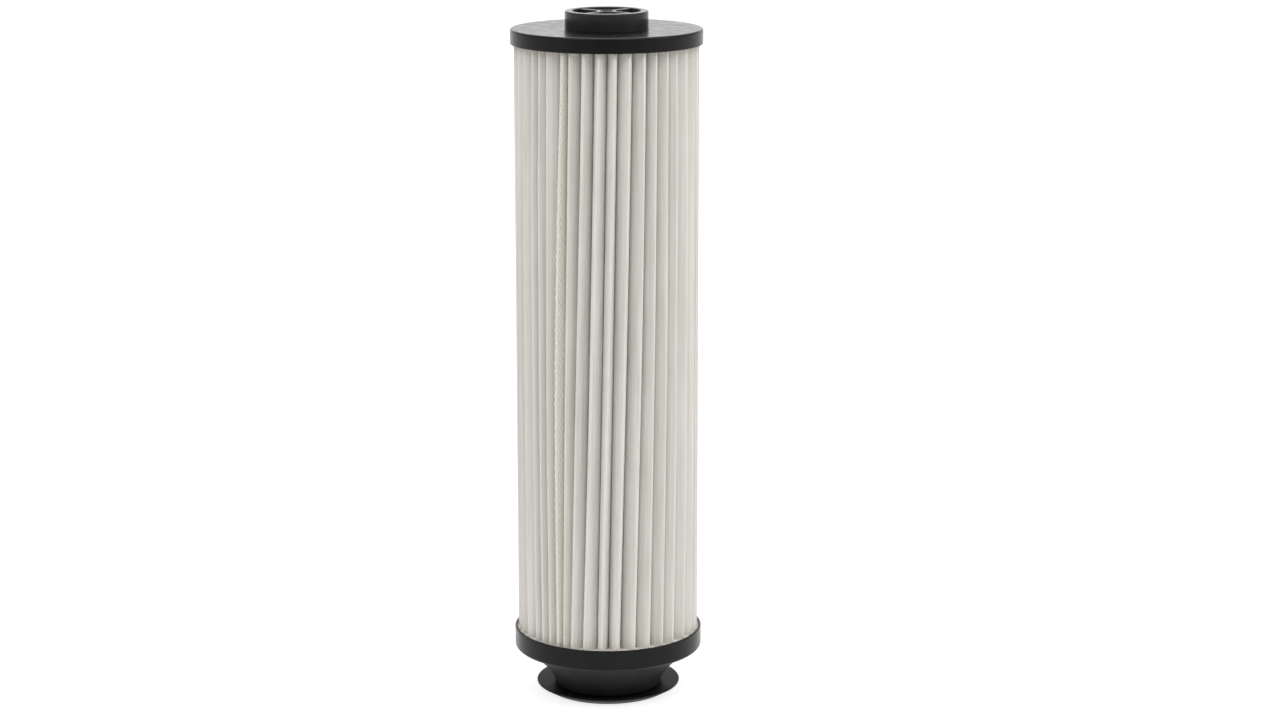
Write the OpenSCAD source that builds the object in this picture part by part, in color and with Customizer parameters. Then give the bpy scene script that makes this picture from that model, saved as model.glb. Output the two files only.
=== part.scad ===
// Pleated water filter cartridge: two end caps, a pleated pack round a slotted core,
// an outlet hub on top and a flared neck with a lip seal below.
// It stands on the lip seal, with the axis on Z and the seal's underside at z = 0.

/* [Overall] */
// Height from the seal's underside to the top of the hub
overall_h = 237; // [200:1:300]
// Outside diameter of both end caps
cap_d = 65; // [64.5:0.1:68]

/* [Top end] */
// Height of the hub above the top cap
hub_h = 5.9; // [4.6:0.1:8]
// Outside diameter of the hub
hub_d = 28.2; // [28:0.1:30]
// Bore of the hub
hub_bore = 23; // [21:0.1:24]
// Height of the top cap's skirt, plate included
top_rim_h = 5.2; // [4.5:0.1:8]
// Thickness of the top cap's plate
top_plate_t = 1.8; // [1.2:0.1:2.2]
// Depth of the four spokes
spoke_h = 4; // [2:0.5:4.5]
// Thickness of the four spokes
spoke_t = 1.6; // [1:0.1:2.4]
// Diameter of the boss where the spokes meet
boss_d = 6.6; // [5.5:0.1:8]
// Hole in the boss
boss_hole_d = 4.6; // [2:0.1:4.8]
// Direction of the first spoke, in degrees about Z
spoke_angle = 49; // [0:1:90]

/* [Bottom end] */
// Height of the bottom cap's rim, floor included
bottom_rim_h = 7.4; // [6:0.1:9]
// Thickness of the bottom cap's floor
floor_t = 1.8; // [1.2:0.1:2.2]
// Height of the neck above the seal
neck_h = 13.6; // [10:0.1:16]
// Diameter of the neck where it leaves the bottom cap
neck_top_d = 60; // [50:0.5:61]
// Diameter of the neck at its foot
neck_foot_d = 36.8; // [36:0.1:38.5]
// How late the neck flares out: 1 is a plain cone, more is a trumpet shape
neck_flare = 1.7; // [1:0.1:2.5]
// Wall of the neck
neck_wall = 2; // [1.6:0.1:2.4]
// Diameter over the seal's lip
seal_d = 49.8; // [46:0.1:54]
// Diameter of the flat underside of the seal, which it stands on
seal_foot_d = 42.6; // [40:0.1:44]
// Thickness of the seal at the neck
seal_t = 1.6; // [1.4:0.1:2]
// Height of the lip's edge above the seal's top at the neck
lip_rise = 1.1; // [0:0.1:2]
// Thickness of the lip at its edge
lip_t = 0.6; // [0.4:0.1:0.8]

/* [Pleated pack] */
// Number of pleats
pleats = 40; // [30:1:42]
// Diameter over the fold tips
media_d = 62.7; // [60:0.1:62.8]
// Direction of the seam, in degrees about Z
seam_angle = -121; // [-180:1:180]
// Thickness of the outer support layer
support_t = 0.12; // [0.1:0.02:0.16]
// Thickness of the filtering sheet
medium_t = 0.18; // [0.14:0.02:0.2]
// Thickness of the inner drainage layer
drainage_t = 0.12; // [0.1:0.02:0.16]
// Half width of a fold tip
tip_half = 0.6; // [0.5:0.02:0.8]
// Half width of the gap at the bottom of a valley
valley_half = 0.15; // [0.1:0.01:0.2]

/* [Core] */
// Outside diameter of the core tube
core_d = 31; // [30.5:0.1:32]
// Bore of the core tube
core_bore = 26.4; // [26:0.1:26.6]
// Number of slots round the core
slots_round = 8; // [6:1:8]
// Number of slots along the core
slots_along = 12; // [8:1:14]
// Width of a slot
slot_w = 6; // [4:0.5:6.5]
// Plastic left between two rows of slots
slot_land = 5; // [4:0.5:8]

/* [Hidden] */
$fn = 128;

// heights
rim_z = seal_t + neck_h;
rim_top_z = rim_z + bottom_rim_h;
floor_z = rim_z + floor_t;
top_z = overall_h - hub_h;
plate_z = top_z - top_plate_t;
skirt_z = top_z - top_rim_h;

// end caps
cap_r = cap_d / 2;
cap_wall = 1;
cap_inner_r = cap_r - cap_wall;
edge_r = 0.5;
rim_round_r = 1.2;

// hub and the spigots that enter the core
hub_r = hub_d / 2;
hub_bore_r = hub_bore / 2;
core_r = core_d / 2;
core_bore_r = core_bore / 2;
hub_spigot_len = 8;
foot_spigot_len = 4;
spigot_gap = 0.05;
spoke_top_gap = 0.2;
boss_r = boss_d / 2;

// pleated pack
potting_depth = 3;
pleat_end_gap = 1;
pleat_z0 = floor_z + pleat_end_gap;
pleat_z1 = plate_z - pleat_end_gap;
pack_t = support_t + medium_t + drainage_t;
tip_r = media_d / 2;
valley_r = core_r + 0.1 + pack_t;
pitch = 360 / pleats;
seam_t = 0.3;
seam_w = 2.4;
seam_flat = seam_w + 0.6;
seam_end_gap = 0.6;

// neck foot and lip seal: the seal snaps into a groove above a bead on the neck's foot
foot_r = neck_foot_d / 2;
neck_top_r = neck_top_d / 2;
neck_steps = 12;
groove_r = foot_r - 2.2;
bead_r = foot_r - 1;
bead_h = seal_t / 2;
bead_lift = 0.1;
foot_bore_r = groove_r - neck_wall;
seal_r = seal_d / 2;
seal_foot_r = seal_foot_d / 2;
seal_foot_round_r = 0.3;
lip_z = seal_t + lip_rise - lip_t / 2;

function arc(cx, cy, r, a0, a1, n = 6) =
    [for (i = [0:n]) let (a = a0 + (a1 - a0) * i / n) [cx + r * cos(a), cy + r * sin(a)]];

// ---- pleat outline ----
// A pleat is symmetric about its own axis, taken here as +X. Its flank runs from the corner of
// the fold tip to the corner of the valley. A surface inside the pack is the outside surface
// moved in by d.
function along(a) = [cos(a), sin(a)];
function turned(p, a) = [p[0] * cos(a) - p[1] * sin(a), p[0] * sin(a) + p[1] * cos(a)];
function cut_line(p, e, u, dist) = p + e * ((dist - p * u) / (e * u));
function flank(r, half, d) =
    let (
        u = along(pitch / 2),
        tip = [r, half],
        valley = valley_r * u + valley_half * [u[1], -u[0]],
        e = (valley - tip) / norm(valley - tip),
        p = tip + d * [-e[1], e[0]]
    )
    [cut_line(p, e, [1, 0], r - d), cut_line(p, e, u, valley_r - d)];
function pleat(a, r, half, d) =
    let (f = flank(r, half, d), tip = f[0], valley = f[1])
    [for (p = [[valley[0], -valley[1]], [tip[0], -tip[1]], tip, valley]) turned(p, a)];
function outline(d) = [
    for (k = [0:pleats - 1])
        let (seam = k == 0)
        each pleat(
            seam_angle + k * pitch,
            seam ? tip_r - seam_t : tip_r,
            seam ? seam_flat / 2 : tip_half,
            d
        )
];

// ---- helpers ----
module tube(r0, r1, z0, z1) {
    rotate_extrude()
        translate([r0, z0])
            square([r1 - r0, z1 - z0]);
}

module pleated_sheet(d0, d1, z0 = pleat_z0, z1 = pleat_z1) {
    translate([0, 0, z0])
        linear_extrude(z1 - z0)
            difference() {
                polygon(outline(d0));
                polygon(outline(d1));
            }
}

// ---- top end ----
module top_end_cap() {
    color([0.11, 0.11, 0.11])
        rotate_extrude()
            polygon(concat(
                [[core_bore_r - spigot_gap, plate_z]],
                [[core_bore_r - spigot_gap, top_z]],
                arc(cap_r - edge_r, top_z - edge_r, edge_r, 90, 0),
                arc(cap_r - edge_r, skirt_z + edge_r, edge_r, 0, -90),
                [[cap_inner_r, skirt_z], [cap_inner_r, plate_z]]
            ));
}

module outlet_hub() {
    color([0.12, 0.12, 0.12])
        rotate_extrude()
            polygon(concat(
                [[hub_bore_r, top_z - hub_spigot_len]],
                arc(hub_bore_r + edge_r, overall_h - edge_r, edge_r, 180, 90),
                arc(hub_r - edge_r, overall_h - edge_r, edge_r, 90, 0),
                [[hub_r, top_z], [core_bore_r - spigot_gap, top_z]],
                [[core_bore_r - spigot_gap, top_z - hub_spigot_len]]
            ));
}

module hub_spider() {
    color([0.12, 0.12, 0.12])
        translate([0, 0, overall_h - spoke_top_gap - spoke_h])
            difference() {
                union() {
                    intersection() {
                        cylinder(r = hub_bore_r, h = spoke_h);
                        for (a = [spoke_angle, spoke_angle + 90])
                            rotate(a)
                                translate([-hub_r, -spoke_t / 2, 0])
                                    cube([hub_d, spoke_t, spoke_h]);
                    }
                    cylinder(r = boss_r, h = spoke_h);
                }
                translate([0, 0, -1])
                    cylinder(d = boss_hole_d, h = spoke_h + 2);
            }
}

module top_potting() {
    color([0.86, 0.83, 0.74])
        difference() {
            tube(core_r, cap_inner_r, plate_z - potting_depth, plate_z);
            pleated_sheet(0, pack_t, plate_z - potting_depth - 1, pleat_z1);
        }
}

// ---- pleated pack ----
module outer_support_layer() {
    color([0.87, 0.86, 0.82])
        pleated_sheet(0, support_t);
}

module filter_medium() {
    color([0.93, 0.92, 0.88])
        pleated_sheet(support_t, support_t + medium_t);
}

module inner_drainage_layer() {
    color([0.90, 0.89, 0.86])
        pleated_sheet(support_t + medium_t, pack_t);
}

module side_seam() {
    color([0.88, 0.85, 0.74])
        rotate(seam_angle)
            translate([tip_r - seam_t, -seam_w / 2, rim_top_z + seam_end_gap])
                cube([seam_t, seam_w, skirt_z - rim_top_z - 2 * seam_end_gap]);
}

// ---- core ----
module core_tube() {
    z0 = floor_z;
    row = (plate_z - z0 - slot_land) / slots_along;
    color([0.80, 0.80, 0.78])
        difference() {
            tube(core_bore_r, core_r, z0, plate_z);
            for (k = [0:slots_along - 1], a = [0:slots_round - 1])
                rotate(a * 360 / slots_round)
                    translate([core_bore_r - 2, -slot_w / 2, z0 + slot_land + k * row])
                        cube([core_r - core_bore_r + 4, slot_w, row - slot_land]);
        }
}

// ---- bottom end ----
module bottom_potting() {
    color([0.86, 0.83, 0.74])
        difference() {
            tube(core_r, cap_inner_r, floor_z, floor_z + pleat_end_gap + potting_depth);
            pleated_sheet(0, pack_t, pleat_z0, floor_z + pleat_end_gap + potting_depth + 1);
        }
}

module bottom_end_cap() {
    spigot_r = core_bore_r - spigot_gap;
    color([0.11, 0.11, 0.11])
        rotate_extrude()
            polygon(concat(
                [[0, rim_z]],
                arc(cap_r - rim_round_r, rim_z + rim_round_r, rim_round_r, -90, 0),
                [[cap_r, rim_top_z], [cap_inner_r, rim_top_z], [cap_inner_r, floor_z]],
                [[spigot_r, floor_z], [spigot_r, floor_z + foot_spigot_len]],
                [[hub_bore_r, floor_z + foot_spigot_len], [hub_bore_r, floor_z], [0, floor_z]]
            ));
}

module neck_collar() {
    // the outside flares from the foot to the bottom cap, and the inside follows it
    side = [
        for (i = [0:neck_steps])
            let (t = i / neck_steps)
            [foot_r + (neck_top_r - foot_r) * pow(t, neck_flare), seal_t + neck_h * t]
    ];
    color([0.11, 0.11, 0.11])
        rotate_extrude()
            polygon(concat(
                side,
                [for (i = [neck_steps:-1:1]) side[i] - [neck_wall, 0]],
                [[foot_bore_r, seal_t + neck_wall], [foot_bore_r, bead_lift]],
                [[bead_r, bead_lift], [bead_r, bead_h], [groove_r, bead_h], [groove_r, seal_t]]
            ));
}

module lip_seal() {
    color([0.09, 0.09, 0.09])
        rotate_extrude()
            polygon(concat(
                [[groove_r, bead_h], [bead_r, bead_h], [bead_r, 0]],
                arc(seal_foot_r - seal_foot_round_r, seal_foot_round_r, seal_foot_round_r, -90, -30),
                arc(seal_r - lip_t / 2, lip_z, lip_t / 2, -60, 90),
                [[foot_r, seal_t], [groove_r, seal_t]]
            ));
}

top_end_cap();
outlet_hub();
hub_spider();
top_potting();
outer_support_layer();
filter_medium();
inner_drainage_layer();
side_seam();
core_tube();
bottom_potting();
bottom_end_cap();
neck_collar();
lip_seal();
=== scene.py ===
"""Pleated water filter cartridge, standing on its lip seal on a plain pale floor.

Black moulded end caps hold an unevenly pleated pack of off-white non-woven sheet round a
slotted core. An open outlet hub stands on top, and a flared neck with a lip seal is below.
Everything is in metres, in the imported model's own frame, with Z up.
"""
import math
import random

import bpy
from mathutils import Matrix, Vector


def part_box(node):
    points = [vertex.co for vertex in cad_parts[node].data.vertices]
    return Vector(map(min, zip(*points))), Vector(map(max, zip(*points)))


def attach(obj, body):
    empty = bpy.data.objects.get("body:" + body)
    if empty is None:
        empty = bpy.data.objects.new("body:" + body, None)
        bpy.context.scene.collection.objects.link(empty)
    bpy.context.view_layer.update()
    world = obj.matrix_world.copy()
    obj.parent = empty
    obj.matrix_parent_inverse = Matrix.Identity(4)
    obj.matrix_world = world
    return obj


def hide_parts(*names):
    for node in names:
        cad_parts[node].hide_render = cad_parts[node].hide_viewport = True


MM = 0.001
TAU = 2 * math.pi

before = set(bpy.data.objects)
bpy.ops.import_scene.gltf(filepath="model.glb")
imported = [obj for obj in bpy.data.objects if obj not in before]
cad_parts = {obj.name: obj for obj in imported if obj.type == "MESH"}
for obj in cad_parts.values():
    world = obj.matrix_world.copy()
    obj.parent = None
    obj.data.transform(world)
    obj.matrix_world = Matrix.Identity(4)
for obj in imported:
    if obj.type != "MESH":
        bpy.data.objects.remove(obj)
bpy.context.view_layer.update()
random.seed(7)

# ---------------------------------------------------------------- sizes
cap_lo, cap_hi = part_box("top_end_cap")
hub_lo, hub_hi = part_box("outlet_hub")
spider_lo, spider_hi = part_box("hub_spider")
tray_lo, tray_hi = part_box("bottom_end_cap")
neck_lo, neck_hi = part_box("neck_collar")
seal_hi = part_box("lip_seal")[1]
pack_lo, pack_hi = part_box("outer_support_layer")
core_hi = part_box("core_tube")[1]
seam_lo, seam_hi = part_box("side_seam")

CAP_R = cap_hi.x
CAP_WALL = 1.0 * MM
CAP_INNER_R = CAP_R - CAP_WALL
PLATE_T = 1.8 * MM
TOP_PLATE_Z = cap_hi.z - PLATE_T  # the underside of the top cap's plate
TRAY_FLOOR_Z = tray_lo.z + PLATE_T  # the upper side of the bottom tray's floor
HUB_R = hub_hi.x
HUB_BORE_R = 11.5 * MM
SPIGOT_R = 13.15 * MM
TRAY_SPIGOT_H = 4 * MM
CORE_R = core_hi.x
TIP_R = max(pack_hi.x, pack_hi.y)
NECK_FOOT_R = 18.4 * MM
NECK_FLARE = 1.7  # the power of height by which the neck widens
NECK_WALL = 2.0 * MM
SEAL_T = 1.6 * MM
SEAL_FOOT_R = 21.3 * MM
LIP_T = 0.6 * MM
GROOVE_R = 16.2 * MM
BEAD_R = 17.4 * MM
TOP_POTTING_T = 3 * MM

# the pack's layers, from the outside in
SUPPORT_T = 0.12 * MM
MEDIUM_T = 0.18 * MM
DRAINAGE_T = 0.12 * MM
PACK_T = SUPPORT_T + MEDIUM_T + DRAINAGE_T
CORE_GAP = 0.05 * MM  # between the pack and the core

# the shape of a pleat
FOLD_R = 0.46 * MM  # outside radius of a fold at its tip
FLANK_PUFF = 0.06  # how far a flank leans outwards where it leaves its fold
FLANK_START = 0.3  # share of a flank's reach over which it keeps the way it left the fold
FLANK_END = 0.16  # share of it over which the flank turns in beside its neighbour
SLIT = 0.06 * MM  # half of the gap left where neighbouring pleats press together
PINCH_R = 27.9 * MM  # distance from the axis at which they meet
PINCH_DEEPER = 1.9 * MM  # how much deeper they meet in front, where the pleats stand further apart
DEEPER_WIDTH = 24  # how wide that front region is, in degrees


# ---------------------------------------------------------------- materials
def add_node(tree, kind, **values):
    """Adds a node. Each value sets the input of that name, or the node's own property."""
    node = tree.nodes.new(kind)
    for key, value in values.items():
        if key in node.inputs:
            node.inputs[key].default_value = value
        else:
            setattr(node, key, value)
    return node


def new_material(name):
    """A material with its node tree, its shader and its object coordinates."""
    material = bpy.data.materials.new(name)
    material.use_nodes = True
    tree = material.node_tree
    coords = add_node(tree, "ShaderNodeTexCoord").outputs["Object"]
    return material, tree, tree.nodes["Principled BSDF"], coords


def calculate(tree, operation, *operands):
    """A Math node, whose operands are outputs of other nodes or plain numbers."""
    node = add_node(tree, "ShaderNodeMath", operation=operation)
    for socket, operand in zip(node.inputs, operands):
        if isinstance(operand, (int, float)):
            socket.default_value = operand
        else:
            tree.links.new(operand, socket)
    return node.outputs["Value"]


def noise(tree, coords, scale, detail=3.0, roughness=0.55, stretch=None):
    """Noise in object space; stretch is the (x, y, z) scale that draws it out along an axis."""
    source = coords
    if stretch:
        mapping = add_node(tree, "ShaderNodeMapping")
        mapping.inputs["Scale"].default_value = stretch
        tree.links.new(coords, mapping.inputs["Vector"])
        source = mapping.outputs["Vector"]
    node = add_node(tree, "ShaderNodeTexNoise", Scale=scale, Detail=detail, Roughness=roughness)
    tree.links.new(source, node.inputs["Vector"])
    return node.outputs["Fac"]


def ramp(tree, value, stops):
    """Turns value into a colour by way of stops, each a position from 0 to 1 and a colour."""
    node = add_node(tree, "ShaderNodeValToRGB")
    elements = node.color_ramp.elements
    while len(elements) < len(stops):
        elements.new(0.5)
    for element, (position, colour) in zip(elements, stops):
        element.position = position
        element.color = (*colour, 1.0)
    tree.links.new(value, node.inputs["Fac"])
    return node.outputs["Color"]


def map_range(tree, value, source, target):
    """Maps value from the source range to the target range, eased at both ends."""
    node = add_node(tree, "ShaderNodeMapRange", interpolation_type="SMOOTHSTEP")
    for end, bounds in (("From", source), ("To", target)):
        node.inputs[end + " Min"].default_value, node.inputs[end + " Max"].default_value = bounds
    tree.links.new(value, node.inputs["Value"])
    return node.outputs["Result"]


def bump(tree, height, strength, distance, normal=None):
    node = add_node(tree, "ShaderNodeBump", Strength=strength, Distance=distance)
    tree.links.new(height, node.inputs["Height"])
    if normal:
        tree.links.new(normal, node.inputs["Normal"])
    return node.outputs["Normal"]


def grey(value):
    return (value, value, value)


def plastic(name, dark, light, rough_low, rough_high):
    """Moulded plastic: faint flow marks in the colour, fine grain and a soft uneven gloss."""
    material, tree, shader, coords = new_material(name)
    flow = noise(tree, coords, 90.0, 4.0, 0.6)
    tree.links.new(ramp(tree, flow, [(0.35, dark), (0.7, light)]), shader.inputs["Base Color"])
    gloss = noise(tree, coords, 260.0, 3.0, 0.6)
    tree.links.new(
        ramp(tree, gloss, [(0.3, grey(rough_low)), (0.7, grey(rough_high))]),
        shader.inputs["Roughness"],
    )
    grain = noise(tree, coords, 5200.0, 2.0, 0.5)
    waves = noise(tree, coords, 60.0, 1.0, 0.4)
    pebble = noise(tree, coords, 1600.0, 2.0, 0.5)
    fine = bump(tree, grain, 0.12, 0.02 * MM)
    fine = bump(tree, pebble, 0.25, 0.03 * MM, fine)
    tree.links.new(bump(tree, waves, 0.15, 0.1 * MM, fine), shader.inputs["Normal"])
    shader.inputs["IOR"].default_value = 1.26
    return material


def non_woven(name, shade, tint, fibre_scale=1400.0):
    """Spun non-woven sheet: short fibres drawn along the pleats, faint blotches and a dull face."""
    material, tree, shader, coords = new_material(name)
    blotch = noise(tree, coords, 160.0, 4.0, 0.6, (1.0, 1.0, 0.35))
    streaks = noise(tree, coords, 1100.0, 2.0, 0.6, (1.0, 1.0, 0.012))
    mottle = calculate(tree, "MULTIPLY_ADD", blotch, 0.35, streaks)
    tree.links.new(ramp(tree, mottle, [(0.5, shade), (0.85, tint)]), shader.inputs["Base Color"])
    fibres = noise(tree, coords, fibre_scale, 4.0, 0.7, (1.0, 1.0, 0.3))
    lumps = noise(tree, coords, 420.0, 2.0, 0.5)
    fine = bump(tree, fibres, 0.35, 0.05 * MM)
    tree.links.new(bump(tree, lumps, 0.2, 0.1 * MM, fine), shader.inputs["Normal"])
    shader.inputs["Roughness"].default_value = 0.85
    shader.inputs["Specular IOR Level"].default_value = 0.2
    shader.inputs["Sheen Weight"].default_value = 0.15
    return material


def waxy(tree, shader, coords):
    """Gives a shader the faintly lumpy, softly shiny face of something that was once melted."""
    lumps = noise(tree, coords, 1500.0, 2.0, 0.5)
    tree.links.new(bump(tree, lumps, 0.3, 0.06 * MM), shader.inputs["Normal"])
    shader.inputs["Roughness"].default_value = 0.5


def adhesive(name, shade, tint):
    """Cured potting adhesive, slightly blotchy."""
    material, tree, shader, coords = new_material(name)
    blotch = noise(tree, coords, 500.0, 3.0, 0.6)
    tree.links.new(ramp(tree, blotch, [(0.35, shade), (0.65, tint)]), shader.inputs["Base Color"])
    waxy(tree, shader, coords)
    return material


def welded(name):
    """Knurled weld in its own yellowish tone with random speckle. Its colour also follows the
    surface's height through the weld attribute: pale where that is high, a painted highlight on its
    spots, and dark, a painted shade in its pits.
    """
    material, tree, shader, coords = new_material(name)
    weld_and_painted_light = add_node(tree, "ShaderNodeAttribute", attribute_name="weld_and_painted_light").outputs["Fac"]
    speckled = calculate(tree, "MULTIPLY_ADD", noise(tree, coords, 2600.0, 2.0, 0.6), 0.5, weld_and_painted_light)
    # a ramp's positions end at 1, and the speckled weld goes past that, so both are divided by span
    span = 1.5
    # from painted shade in the pits, through the weld's own tone, to painted highlight on the spots
    shades = [
        (0.25 / span, (0.36, 0.34, 0.26)),
        (0.55 / span, (0.69, 0.675, 0.58)),
        (0.8 / span, (0.77, 0.755, 0.68)),
        (1.1 / span, (0.97, 0.96, 0.93)),
    ]
    spread = calculate(tree, "DIVIDE", speckled, span)
    tree.links.new(ramp(tree, spread, shades), shader.inputs["Base Color"])
    waxy(tree, shader, coords)
    return material


def rubber(name):
    """Soft black elastomer: matt, with a faint bloom."""
    material, tree, shader, coords = new_material(name)
    bloom = noise(tree, coords, 240.0, 4.0, 0.65)
    shades = [(0.35, grey(0.007)), (0.75, grey(0.012))]
    tree.links.new(ramp(tree, bloom, shades), shader.inputs["Base Color"])
    grain = noise(tree, coords, 3800.0, 3.0, 0.6)
    tree.links.new(bump(tree, grain, 0.25, 0.03 * MM), shader.inputs["Normal"])
    shader.inputs["Roughness"].default_value = 0.5
    shader.inputs["IOR"].default_value = 1.3
    return material


CAP_PLASTIC = plastic("cap_plastic", grey(0.005), grey(0.008), 0.16, 0.26)
HUB_PLASTIC = plastic("hub_plastic", grey(0.027), grey(0.038), 0.14, 0.24)
# painted light: the neck's plastic is the caps' black plastic made lighter, standing in for the
# light it gets from the floor below
NECK_PLASTIC_PAINTED_LIGHT = plastic("neck_plastic_painted_light", grey(0.026), grey(0.034), 0.35, 0.5)
OUTER_MEDIA = non_woven("outer_media", (0.66, 0.64, 0.592), (0.755, 0.738, 0.7))
FILTER_SHEET = non_woven("filter_sheet", (0.82, 0.81, 0.78), (0.86, 0.85, 0.83), 2400.0)
DRAINAGE_SHEET = non_woven("drainage_sheet", (0.70, 0.69, 0.64), (0.78, 0.77, 0.72), 900.0)
SEAM = welded("seam")
POTTING = adhesive("potting", (0.72, 0.70, 0.62), (0.80, 0.78, 0.71))
SEAL_RUBBER = rubber("seal_rubber")
CORE_PLASTIC = plastic("core_plastic", (0.52, 0.52, 0.49), (0.60, 0.60, 0.57), 0.45, 0.6)


# ---------------------------------------------------------------- mesh helpers
def add_piece(name, mesh, material, node_name):
    """Puts a mesh in the scene as a piece that stands for a CAD node."""
    mesh.materials.clear()
    mesh.materials.append(material)
    obj = bpy.data.objects.new(name, mesh)
    bpy.context.scene.collection.objects.link(obj)
    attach(obj, "root")
    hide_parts(node_name)
    return obj


def make_piece(name, vertices, faces, material, node_name):
    """A smooth shaded piece from its vertices and faces."""
    mesh = bpy.data.meshes.new(name)
    mesh.from_pydata(vertices, [], faces)
    mesh.validate()
    mesh.shade_smooth()
    return add_piece(name, mesh, material, node_name)


def keep_flats_flat(obj):
    """Weighted normals keep a large flat face flat beside a small rounded edge."""
    modifier = obj.modifiers.new("flat_normals", "WEIGHTED_NORMAL")
    modifier.mode = "FACE_AREA"
    modifier.weight = 80


def rounded(corners, steps=6):
    """Turns closed corners (r, z, fillet radius) into points, with an arc at each filleted one."""
    points = []
    count = len(corners)
    for i, (r, z, radius) in enumerate(corners):
        here = Vector((r, z))
        if radius <= 0:
            points.append(here)
            continue
        before = (Vector(corners[i - 1][:2]) - here).normalized()
        after = (Vector(corners[(i + 1) % count][:2]) - here).normalized()
        half = before.angle(after) / 2
        reach = radius / math.tan(half)
        middle = here + (before + after).normalized() * (radius / math.sin(half))
        start = here + before * reach - middle
        end = here + after * reach - middle
        sweep = start.angle_signed(end)
        for k in range(steps + 1):
            turn = -sweep * k / steps
            c, s = math.cos(turn), math.sin(turn)
            points.append(middle + Vector((start.x * c - start.y * s, start.x * s + start.y * c)))
    return points


def lathe(name, corners, material, node_name, segments=256):
    """Revolves a closed outline, as rounded takes it, about Z.

    The outline runs anticlockwise, with r to the right and z up, so that the faces look outwards.
    A point on the axis becomes one vertex.
    """
    vertices, rings = [], []
    for point in rounded(corners):
        if point.x < 1e-7:
            rings.append([len(vertices)] * segments)
            vertices.append((0.0, 0.0, point.y))
            continue
        rings.append(list(range(len(vertices), len(vertices) + segments)))
        for k in range(segments):
            a = TAU * k / segments
            vertices.append((point.x * math.cos(a), point.x * math.sin(a), point.y))
    faces = []
    for i in range(len(rings)):
        low, high = rings[i], rings[(i + 1) % len(rings)]
        if low[0] == low[1] and high[0] == high[1]:
            continue
        for k in range(segments):
            n = (k + 1) % segments
            face = []
            for v in (low[k], low[n], high[n], high[k]):
                if v not in face:
                    face.append(v)
            faces.append(tuple(face))
    keep_flats_flat(make_piece(name, vertices, faces, material, node_name))


# ---------------------------------------------------------------- end caps, neck and seal
def build_top_cap():
    lathe(
        "top_cap",
        [
            (SPIGOT_R, TOP_PLATE_Z, 0),
            (CAP_INNER_R, TOP_PLATE_Z, 0),
            (CAP_INNER_R, cap_lo.z, 0.15 * MM),
            (CAP_R, cap_lo.z, 0.35 * MM),
            (CAP_R, cap_hi.z, 0.75 * MM),
            (SPIGOT_R, cap_hi.z, 0),
        ],
        CAP_PLASTIC, "top_end_cap",
    )


def build_hub():
    lathe(
        "hub_ring",
        [
            (HUB_BORE_R, hub_lo.z, 0.3 * MM),
            (SPIGOT_R, hub_lo.z, 0.3 * MM),
            (SPIGOT_R, cap_hi.z, 0),
            (HUB_R, cap_hi.z, 0),
            (HUB_R, hub_hi.z, 0.5 * MM),
            (HUB_BORE_R, hub_hi.z, 0.45 * MM),
        ],
        HUB_PLASTIC, "outlet_hub",
    )


def build_tray():
    spigot_top = TRAY_FLOOR_Z + TRAY_SPIGOT_H
    lathe(
        "bottom_tray",
        [
            (0, tray_lo.z, 0),
            (CAP_R, tray_lo.z, 1.2 * MM),
            (CAP_R, tray_hi.z, 0.3 * MM),
            (CAP_INNER_R, tray_hi.z, 0.25 * MM),
            (CAP_INNER_R, TRAY_FLOOR_Z, 0),
            (SPIGOT_R, TRAY_FLOOR_Z, 0),
            (SPIGOT_R, spigot_top, 0.3 * MM),
            (HUB_BORE_R, spigot_top, 0.3 * MM),
            (HUB_BORE_R, TRAY_FLOOR_Z, 0),
            (0, TRAY_FLOOR_Z, 0),
        ],
        CAP_PLASTIC, "bottom_end_cap",
    )


def build_neck():
    spread, height = neck_hi.x - NECK_FOOT_R, neck_hi.z - SEAL_T
    bore_r = GROOVE_R - NECK_WALL
    steps = 20
    side = [
        (NECK_FOOT_R + spread * (k / steps) ** NECK_FLARE, SEAL_T + height * k / steps)
        for k in range(steps + 1)
    ]
    lathe(
        "neck",
        [
            (bore_r, neck_lo.z, 0.2 * MM),
            (BEAD_R, neck_lo.z, 0.15 * MM),
            (BEAD_R, SEAL_T / 2, 0),
            (GROOVE_R, SEAL_T / 2, 0),
            (GROOVE_R, SEAL_T, 0),
            *[(r, z, 0) for r, z in side],
            *[(r - NECK_WALL, z, 0) for r, z in reversed(side[1:])],
            (bore_r, SEAL_T + NECK_WALL, 0),
        ],
        NECK_PLASTIC_PAINTED_LIGHT, "neck_collar",
    )


def build_seal():
    lathe(
        "lip_seal_ring",
        [
            (BEAD_R, 0, 0),
            (SEAL_FOOT_R, 0, 0.4 * MM),
            (seal_hi.x, seal_hi.z - LIP_T, 0.28 * MM),
            (seal_hi.x, seal_hi.z, 0.28 * MM),
            (NECK_FOOT_R, SEAL_T, 0),
            (GROOVE_R, SEAL_T, 0),
            (GROOVE_R, SEAL_T / 2, 0),
            (BEAD_R, SEAL_T / 2, 0),
        ],
        SEAL_RUBBER, "lip_seal",
    )


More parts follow.
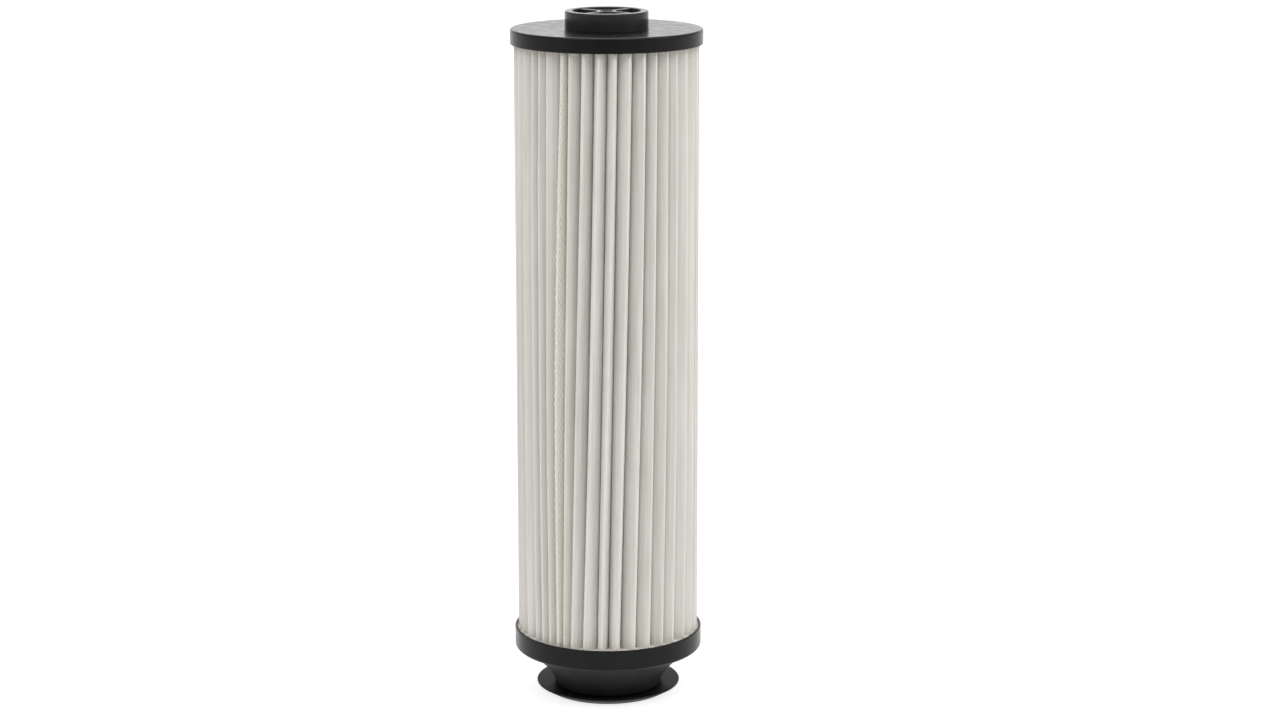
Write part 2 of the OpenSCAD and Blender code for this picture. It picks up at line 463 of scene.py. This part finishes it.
def build_spider():
    """The X in the hub: a flat outline with filleted corners, given thickness and soft edges."""
    spoke_half = 0.8 * MM
    boss_r = 3.3 * MM
    hole_r = 2.3 * MM
    first_spoke = 49  # degrees from +X
    fillet = 1.0 * MM
    edge = 0.25 * MM
    reach = HUB_BORE_R + 0.05 * MM
    arc_steps = 6
    hole_steps = 48
    curve = bpy.data.curves.new("spider_outline", "CURVE")
    curve.dimensions = "2D"
    curve.fill_mode = "BOTH"
    curve.extrude = (spider_hi.z - spider_lo.z) / 2 - edge
    curve.bevel_depth = edge
    curve.bevel_resolution = 3
    curve.offset = -edge
    # where the fillet between a spoke's side and the boss is centred
    centre_x = math.sqrt((boss_r + fillet) ** 2 - (spoke_half + fillet) ** 2)
    touch = math.atan2(spoke_half + fillet, centre_x)
    arm = math.sqrt(reach**2 - spoke_half**2)
    points = []
    for quarter in range(4):
        spoke = math.radians(first_spoke + 90 * quarter)
        axis = Vector((math.cos(spoke), math.sin(spoke)))
        side = Vector((-axis.y, axis.x))
        points.append(axis * arm - side * spoke_half)
        points.append(axis * arm + side * spoke_half)
        middle = axis * centre_x + side * (spoke_half + fillet)
        for k in range(arc_steps + 1):
            a = -math.pi / 2 - (math.pi / 2 - touch) * k / arc_steps
            points.append(middle + (axis * math.cos(a) + side * math.sin(a)) * fillet)
        for k in range(1, arc_steps):
            a = touch + (math.pi / 2 - 2 * touch) * k / arc_steps
            points.append((axis * math.cos(a) + side * math.sin(a)) * boss_r)
        # the fillet on the near side of the next spoke, which points along this one's side
        middle = side * centre_x + axis * (spoke_half + fillet)
        for k in range(arc_steps + 1):
            a = math.pi - touch - (math.pi / 2 - touch) * k / arc_steps
            points.append(middle + (side * math.cos(a) - axis * math.sin(a)) * fillet)
    hole = [
        Vector((math.cos(TAU * k / hole_steps), math.sin(TAU * k / hole_steps))) * hole_r
        for k in range(hole_steps)
    ]
    for loop in (points, hole):
        spline = curve.splines.new("POLY")
        spline.points.add(len(loop) - 1)
        for target, point in zip(spline.points, loop):
            target.co = (point.x, point.y, 0, 1)
        spline.use_cyclic_u = True
    shape = bpy.data.objects.new("spider_outline", curve)
    bpy.context.scene.collection.objects.link(shape)
    bpy.context.view_layer.update()
    mesh = bpy.data.meshes.new_from_object(shape)
    bpy.data.objects.remove(shape)
    mesh.transform(Matrix.Translation((0, 0, (spider_hi.z + spider_lo.z) / 2)))
    add_piece("hub_web", mesh, HUB_PLASTIC, "hub_spider")


# ---------------------------------------------------------------- the pleated pack
# Directions of the folds that face the front, in degrees from the front towards +X, at the
# pack's top. The folds lean round the pack on their way down, most of all near LEAN_AT.
FRONT_FOLDS = (-62, -52, -45.5, -39, -27.8, -23, -14, -5, 5, 14, 23.2, 31.4, 40, 48, 58, 67.5)
PLEATS = 40
LEAN = -10.6  # how far the fold at LEAN_AT has turned at the pack's bottom
LEAN_AT = -8.0
LEAN_LEFT = 20.0  # degrees over which the lean fades to the left of LEAN_AT, and to its right
LEAN_RIGHT = 48.0
LEAN_POWER = 1.1
SIDE_BOW = 2.0  # how far the folds at SIDE_BOW_AT on either side bow outwards at mid height
SIDE_BOW_AT = 55
UPRIGHT_FROM = 75  # folds further round than this don't bow
BACK_JITTER = 0.16  # how uneven the folds behind are, as a share of their spacing
SEAM_FOLD = 4  # the fold in FRONT_FOLDS that carries the side seam
SEAM_LEAN = -1.5  # how far that fold turns more than its neighbours, and how far it bows
SEAM_BOW = -2.1
WELD_PITCH = 2.8 * MM  # spacing of the weld spots along the seam


def all_folds():
    """Fold directions all round: the front ones, then evenly spread ones with a little jitter."""
    first, last = FRONT_FOLDS[0], FRONT_FOLDS[-1]
    behind = PLEATS - len(FRONT_FOLDS)
    gap = (360 + first - last) / (behind + 1)
    folds = list(FRONT_FOLDS)
    for k in range(1, behind + 1):
        folds.append(last + gap * k + random.uniform(-BACK_JITTER, BACK_JITTER) * gap)
    return folds


def smooth_wander(size, waves=3):
    """A smooth random function of s in 0..1, within about size of 0."""
    parts = []
    for k in range(1, waves + 1):
        reach = random.uniform(0.3, 1.0) / k
        phase = random.uniform(0, TAU)
        turns = random.uniform(0.6, 1.4) * k
        parts.append((reach, phase, turns))
    return lambda s: size * sum(a * math.sin(p + f * math.pi * s) for a, p, f in parts) / 1.2


def fold_lean(direction, s):
    """How far a fold has turned round the pack at s; the folds behind stay upright."""
    width = LEAN_LEFT if direction < LEAN_AT else LEAN_RIGHT
    lean = LEAN * math.exp(-(((direction - LEAN_AT) / width) ** 2)) * s**LEAN_POWER
    if direction > UPRIGHT_FROM:
        return lean
    bulge = math.sin(math.pi * s)
    bow = math.copysign((abs(direction) / SIDE_BOW_AT) ** 1.5, direction) * SIDE_BOW * bulge
    if direction == FRONT_FOLDS[SEAM_FOLD]:
        bow += SEAM_LEAN * s + SEAM_BOW * bulge
    return lean + bow


FOLDS = all_folds()
# small differences between the pleats: where a fold points, in degrees, how far short of TIP_R it
# stops, how far from PINCH_R the valley after it closes, and how its two flanks sag
FOLD_WANDER = [smooth_wander(0.25) for _ in FOLDS]
TIP_DROP = [random.uniform(0.0, 0.1) * MM for _ in FOLDS]
TIP_WANDER = [smooth_wander(0.04 * MM) for _ in FOLDS]
PINCH = [(random.uniform(-0.5, 0.5) * MM, smooth_wander(0.22 * MM)) for _ in FOLDS]
FLANK_SAG = [(smooth_wander(0.09 * MM), smooth_wander(0.09 * MM)) for _ in FOLDS]
EVEN_PULL = 0.2  # how far each valley keeps to an even spacing round the core
# valleys right of the middle that stand out of line, by the fold before them: how far they are
# turned, in degrees, at the top and at the bottom
VALLEY_PULL = {8: (-1.9, -2.1), 9: (-0.4, -3.1), 10: (0.9, -2.6), 11: (0.2, -0.5)}
FLANK_STEPS = 8  # points on a flank's curve, and steps of the arc round a fold's tip
TIP_STEPS = 8


def turn_to(direction):
    """Unit vector for a direction in degrees from the front towards +X."""
    a = math.radians(direction)
    return Vector((math.sin(a), -math.cos(a)))


def pack_section(s):
    """Fold tips and valley directions at s, from 0 at the pack's top to 1 at its bottom."""
    turned = [f + fold_lean(f, s) + wander(s) for f, wander in zip(FOLDS, FOLD_WANDER)]
    following = turned[1:] + [turned[0] + 360]
    middles = [(a + b) / 2 for a, b in zip(turned, following)]
    step = 360 / PLEATS
    shift = sum(m - step * k for k, m in enumerate(middles)) / PLEATS
    valleys = []
    for k, m in enumerate(middles):
        top, bottom = VALLEY_PULL.get(k, (0, 0))
        pull = top + (bottom - top) * s
        valleys.append(turn_to(m + EVEN_PULL * (shift + step * k - m) + pull))
    tips = [
        turn_to(t) * (TIP_R - FOLD_R - drop - abs(wander(s)))
        for t, drop, wander in zip(turned, TIP_DROP, TIP_WANDER)
    ]
    return tips, valleys


def pinch_radius(k, valley, s):
    """Distance from the axis at which the two sides of valley k press together."""
    direction = math.degrees(math.atan2(valley.x, -valley.y))
    deeper = PINCH_DEEPER * math.exp(-((direction / DEEPER_WIDTH) ** 2))
    offset, wander = PINCH[k]
    return PINCH_R - deeper + offset + wander(s)


def flank(tip, valley, side, pinch_r, sag):
    """One flank from where it leaves the fold to the bottom of its valley, and its start normal.

    It leaves the fold a little rounded, meets its neighbour at pinch_r and runs down beside it.
    """
    across = Vector((-valley.y, valley.x)) * side
    pinch = valley * pinch_r + across * SLIT
    sideways = Vector((-tip.y, tip.x)).normalized() * -side
    inward = ((pinch - tip).normalized() + sideways * FLANK_PUFF).normalized()
    normal = Vector((-inward.y, inward.x)) * side
    start = tip + normal * FOLD_R
    reach = (pinch - start).length
    a = start + inward * reach * FLANK_START + normal * sag
    b = pinch + valley * reach * FLANK_END + (start - pinch) * FLANK_END
    points = []
    for k in range(1, FLANK_STEPS + 1):
        t = k / FLANK_STEPS
        points.append(
            start * (1 - t) ** 3 + a * 3 * t * (1 - t) ** 2 + b * 3 * t * t * (1 - t) + pinch * t**3
        )
    bottom = CORE_R + CORE_GAP + PACK_T + SLIT
    for k in (1, 2):
        points.append(pinch + valley * (bottom - pinch_r) * k / 2)
    return points, normal


def swing(centre, radius, start, end, through, steps):
    """Points on an arc from direction start to end, by way of the direction through."""
    base = math.atan2(through.y, through.x)
    a, b = ((math.atan2(v.y, v.x) - base + math.pi) % TAU - math.pi for v in (start, end))
    turns = [base + a + (b - a) * k / steps for k in range(steps + 1)]
    return [centre + Vector((math.cos(t), math.sin(t))) * radius for t in turns]


def pleat_line(k, s, tips, valleys):
    """Pleat k's outside surface, from the bottom of the valley before it to the next."""
    tip = tips[k]
    flanks = []
    for valley, side, sag in ((k - 1, 1, FLANK_SAG[k][0]), (k, -1, FLANK_SAG[k][1])):
        pinch_r = pinch_radius(valley, valleys[valley], s)
        flanks.append(flank(tip, valleys[valley], side, pinch_r, sag(s)))
    (left, left_normal), (right, right_normal) = flanks
    return left[::-1] + swing(tip, FOLD_R, left_normal, right_normal, tip, TIP_STEPS) + right


def section(s):
    """The pack's outside outline at s, once round."""
    tips, valleys = pack_section(s)
    return [point for k in range(PLEATS) for point in pleat_line(k, s, tips, valleys)]


def moved_in(points, depth):
    """A closed outline moved inwards by depth along its own normals."""
    result = []
    for k, point in enumerate(points):
        run = (points[(k + 1) % len(points)] - points[k - 1]).normalized()
        result.append(point + Vector((-run.y, run.x)) * depth)
    return result


def build_sheet(name, outer, inner, material, node_name, rows):
    """A pleated sheet between two depths, closed at both ends."""
    vertices, faces = [], []
    for depth in (outer, inner):
        for row in range(rows + 1):
            s = row / rows
            z = pack_hi.z + (pack_lo.z - pack_hi.z) * s
            vertices += [(p.x, p.y, z) for p in moved_in(section(s), depth)]
    layer = len(vertices) // 2
    count = layer // (rows + 1)
    for row in range(rows):
        for k in range(count):
            n = (k + 1) % count
            a, b = row * count + k, row * count + n
            c, d = a + count, b + count
            faces.append((a, c, d, b))
            faces.append((layer + a, layer + b, layer + d, layer + c))
    for row, flip in ((0, False), (rows, True)):
        for k in range(count):
            n = (k + 1) % count
            a, b = row * count + k, row * count + n
            face = (a, b, layer + b, layer + a)
            faces.append(face[::-1] if flip else face)
    return make_piece(name, vertices, faces, material, node_name)


def build_pack():
    a = SUPPORT_T
    b = SUPPORT_T + MEDIUM_T
    coarse = 16  # rows in a sheet that hardly shows
    fine = 42
    outer = build_sheet(
        "pleat_outer_sheet", 0, a, OUTER_MEDIA, "outer_support_layer", fine
    )
    middle = build_sheet(
        "pleat_filter_sheet", a, b, FILTER_SHEET, "filter_medium", coarse
    )
    drainage = build_sheet(
        "pleat_drainage_sheet", b, PACK_T, DRAINAGE_SHEET,
        "inner_drainage_layer", coarse,
    )
    seam = build_seam()


# ---------------------------------------------------------------- side seam
def along_line(points, start, length):
    """The place at a length along the points from index start, and the normal there.

    A negative length runs the other way.
    """
    step = 1 if length > 0 else -1
    left, k = abs(length), start
    while True:
        run = points[k + step] - points[k]
        if run.length >= left:
            normal = Vector((run.y, -run.x)) * step / run.length
            return points[k] + run * (left / run.length), normal
        left -= run.length
        k += step


def weld_height(length, drop, span, columns):
    """Height of the weld's surface over its strip: staggered columns of spots with pits between.

    The spots are boldest at mid height and differ in size. The pits are as deep all the way down.
    """
    middle = math.sin(math.pi * drop / span)
    height = 0.0
    for at, phase, size, rise, pit in columns:
        place = drop / WELD_PITCH - phase
        spot = round(place)
        grow = 0.65 + 0.35 * math.sin(127.1 * spot + 311.7 * at / MM)  # uneven from spot to spot
        across = ((length - at) / size) ** 2
        along = (place - spot) * WELD_PITCH / size
        height += rise * grow * middle * math.exp(-across - along * along)
        away = (abs(place - spot) - 0.5) * WELD_PITCH / size
        height -= pit * (1.2 - grow) * math.exp(-across - away * away * 1.5)
    return height


def build_seam():
    """Welded seam over one fold: a thin strip with staggered columns of weld spots and pits."""
    width_left, width_right = 1.3 * MM, 3.0 * MM
    columns = 30
    edge_columns = 3  # over which the strip thins out at either side
    pitch = 0.35 * MM
    thickness = 0.08 * MM
    clearance = 0.01 * MM  # between the strip and the sheet under it
    # the weld attribute, which paints the strip's colour from its height (painted highlight on the
    # spots, painted shade in the pits): its value on the plain strip, and the height that raises it
    # by 1
    plain_weld, weld_scale = 0.45, 0.22 * MM
    # each column of the weld: its place, its phase, a spot's size, and how far it rises and sinks
    weld_columns = (
        (-0.65 * MM, 0.0, 0.46 * MM, 0.30 * MM, 0.03 * MM),
        (0.15 * MM, 0.5, 0.34 * MM, 0.09 * MM, 0.09 * MM),
        (0.95 * MM, 0.0, 0.34 * MM, 0.07 * MM, 0.09 * MM),
        (1.75 * MM, 0.5, 0.34 * MM, 0.06 * MM, 0.08 * MM),
        (2.5 * MM, 0.0, 0.34 * MM, 0.10 * MM, 0.05 * MM),
    )
    top, bottom = seam_hi.z, seam_lo.z
    rows = int((top - bottom) / pitch)
    span = pack_hi.z - pack_lo.z
    lines = []
    for row in range(rows + 1):
        s = (pack_hi.z - top + row * pitch) / span
        tips, valleys = pack_section(s)
        lines.append(pleat_line(SEAM_FOLD, s, tips, valleys))
    apex = len(lines[0]) // 2
    vertices, faces, weld_and_painted_light = [], [], []
    for side in (1, 0):
        for row in range(rows + 1):
            drop = row * pitch
            z = top - drop
            for column in range(columns + 1):
                length = -width_left + (width_left + width_right) * column / columns
                taper = min(1.0, min(column, columns - column) / edge_columns)
                height = weld_height(length, drop, span, weld_columns) * taper
                lift = clearance
                if side:
                    lift += max(thickness * taper + height, 0.0)
                point, normal = along_line(lines[row], apex, length)
                point = point + normal * lift
                vertices.append((point.x, point.y, z))
                # the colour follows the height: a painted highlight on the spots and a painted shade
                # in the pits
                weld_and_painted_light.append(plain_weld + height / weld_scale)
    across = columns + 1
    layer = (rows + 1) * across
    for row in range(rows):
        for column in range(columns):
            a = row * across + column
            b, c, d = a + 1, a + across, a + across + 1
            faces.append((a, c, d, b))
            faces.append((layer + a, layer + b, layer + d, layer + c))
    # at either side the strip has no thickness, so its ends close with triangles there
    for start in (0, rows * across):
        for column in range(columns):
            a, b = start + column, start + column + 1
            face = [a, b]
            if column < columns - 1:
                face.append(layer + b)
            if column > 0:
                face.append(layer + a)
            faces.append(face if start == 0 else face[::-1])
    obj = make_piece("seam_strip", vertices, faces, SEAM, "side_seam")
    attribute = obj.data.attributes.new("weld_and_painted_light", "FLOAT", "POINT")
    attribute.data.foreach_set("value", weld_and_painted_light)
    return obj


# ---------------------------------------------------------------- potting
def build_potting():
    """Both rings of adhesive. The bottom one creeps up the tray's wall."""
    segments = 192
    lathe(
        "top_adhesive",
        [
            (CORE_R, TOP_PLATE_Z - TOP_POTTING_T, 0.5 * MM),
            (CAP_INNER_R, TOP_PLATE_Z - TOP_POTTING_T, 0.1 * MM),
            (CAP_INNER_R, TOP_PLATE_Z, 0),
            (CORE_R, TOP_PLATE_Z, 0),
        ],
        POTTING, "top_potting", segments,
    )
    lathe(
        "bottom_adhesive",
        [
            (CORE_R, TRAY_FLOOR_Z, 0),
            (CAP_INNER_R, TRAY_FLOOR_Z, 0),
            (CAP_INNER_R, tray_hi.z - 0.2 * MM, 0.1 * MM),
            (CAP_INNER_R - 0.4 * MM, tray_hi.z - 0.6 * MM, 0.3 * MM),
            (CORE_R, tray_hi.z - 0.9 * MM, 0.5 * MM),
        ],
        POTTING, "bottom_potting", segments,
    )


# ---------------------------------------------------------------- stage
CAMERA_DISTANCE = 0.987
CAMERA_HEIGHT = 0.3356
CAMERA_PITCH = 12.49  # degrees down
CAMERA_YAW = 0.65  # degrees to the right
LENS = 82.7  # focal length in millimetres, on a frame 36 mm wide
FRAME_WIDTH = 36.0
CLIP_END = 50.0
FLOOR_HALF = 8.0
FLOOR_ALBEDO = 0.3
# the floor is a light table, so the object casts next to no shadow on it
FLOOR_GLOW = 0.82
FLOOR_GLOW_FRONT = 0.32
FLOOR_EASE = 0.3  # distance within which the floor's light hardly changes with direction
# the sky just above the floor is as bright as the floor far off, so the two run together
HORIZON = 1.0
HORIZON_FRONT = 0.45
SKY = 0.42
SKY_FRONT = 0.1
# the ranges over which these change: from straight in front to the sides, as the Y of a unit
# vector, and upwards, as its Z
FLOOR_TURN = (-0.9, -0.2)
SKY_TURN = (-0.97, -0.6)
HORIZON_RISE = (0.02, 0.2)
# name, place, the point it faces, width, height and power
LIGHTS = (
    ("top_box", (0, 0.9, 2.5), (0, 0.7, 0), 4.0, 4.0, 38),
    ("over_box", (0, -0.5, 1.0), (0, -0.1, 0.1), 1.4, 0.6, 6.2),
    ("right_box", (0.95, -0.25, 0.7), (0, 0, 0.15), 0.6, 0.9, 2.8),
    ("left_box", (-0.9, -0.6, 0.75), (0, 0, 0.15), 0.6, 0.9, 0.7),
    ("back_strip", (0, 2.6, 0.95), (0, 0, 0.2), 3.0, 1.0, 7.6),
    ("high_strip", (0, 2.2, 1.9), (0, 0, 0.2), 3.0, 0.8, 24),
)


def build_camera():
    data = bpy.data.cameras.new("camera")
    data.lens = LENS
    data.sensor_width = FRAME_WIDTH
    data.clip_end = CLIP_END
    camera = bpy.data.objects.new("camera", data)
    camera.location = (0, -CAMERA_DISTANCE, CAMERA_HEIGHT)
    camera.rotation_euler = (math.radians(90 - CAMERA_PITCH), 0, math.radians(-CAMERA_YAW))
    bpy.context.scene.collection.objects.link(camera)
    bpy.context.scene.camera = camera


def build_light(name, place, aim, width, height, power):
    data = bpy.data.lights.new(name, "AREA")
    data.shape = "RECTANGLE"
    data.size, data.size_y = width, height
    data.energy = power
    light = bpy.data.objects.new(name, data)
    light.location = place
    light.rotation_euler = (Vector(aim) - Vector(place)).to_track_quat("-Z", "Y").to_euler()
    bpy.context.scene.collection.objects.link(light)


def build_floor():
    """A wide white floor, whose glow is dimmer in front of the object."""
    mesh = bpy.data.meshes.new("floor")
    corners = [(x * FLOOR_HALF, y * FLOOR_HALF, 0) for x, y in ((-1, -1), (1, -1), (1, 1), (-1, 1))]
    mesh.from_pydata(corners, [], [(0, 1, 2, 3)])
    material, tree, shader, coords = new_material("floor_white")
    shader.inputs["Base Color"].default_value = (*grey(FLOOR_ALBEDO), 1)
    shader.inputs["Roughness"].default_value = 0.9
    shader.inputs["Specular IOR Level"].default_value = 0.1
    shader.inputs["Emission Color"].default_value = (1, 1, 1, 1)
    place = add_node(tree, "ShaderNodeSeparateXYZ")
    tree.links.new(coords, place.inputs["Vector"])
    length = add_node(tree, "ShaderNodeVectorMath", operation="LENGTH")
    tree.links.new(coords, length.inputs[0])
    eased = calculate(tree, "ADD", length.outputs["Value"], FLOOR_EASE)
    turn = calculate(tree, "DIVIDE", place.outputs["Y"], eased)
    glow = map_range(tree, turn, FLOOR_TURN, (FLOOR_GLOW_FRONT, FLOOR_GLOW))
    tree.links.new(glow, shader.inputs["Emission Strength"])
    mesh.materials.append(material)
    floor = bpy.data.objects.new("floor", mesh)
    bpy.context.scene.collection.objects.link(floor)


def build_sky():
    """A soft white sky, dimmer in front and overhead, and as bright as the floor where they meet."""
    world = bpy.data.worlds.new("studio")
    world.use_nodes = True
    tree = world.node_tree
    direction = add_node(tree, "ShaderNodeSeparateXYZ")
    coords = add_node(tree, "ShaderNodeTexCoord").outputs["Generated"]
    tree.links.new(coords, direction.inputs["Vector"])
    sky = map_range(tree, direction.outputs["Y"], SKY_TURN, (SKY_FRONT, SKY))
    horizon = map_range(tree, direction.outputs["Y"], FLOOR_TURN, (HORIZON_FRONT, HORIZON))
    low = map_range(tree, direction.outputs["Z"], HORIZON_RISE, (1.0, 0.0))
    blend = add_node(tree, "ShaderNodeMix")
    tree.links.new(low, blend.inputs["Factor"])
    tree.links.new(sky, blend.inputs["A"])
    tree.links.new(horizon, blend.inputs["B"])
    background = tree.nodes["Background"]
    background.inputs["Color"].default_value = (1, 1, 1, 1)
    tree.links.new(blend.outputs["Result"], background.inputs["Strength"])
    bpy.context.scene.world = world


build_camera()
build_top_cap()
build_hub()
build_spider()
build_tray()
build_neck()
build_seal()
build_potting()
build_pack()
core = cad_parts["core_tube"]
core.data.materials.clear()
core.data.materials.append(CORE_PLASTIC)
build_floor()
build_sky()
for light_values in LIGHTS:
    build_light(*light_values)
bpy.context.scene.view_settings.view_transform = "Standard"
bpy.context.scene.view_settings.look = "None"
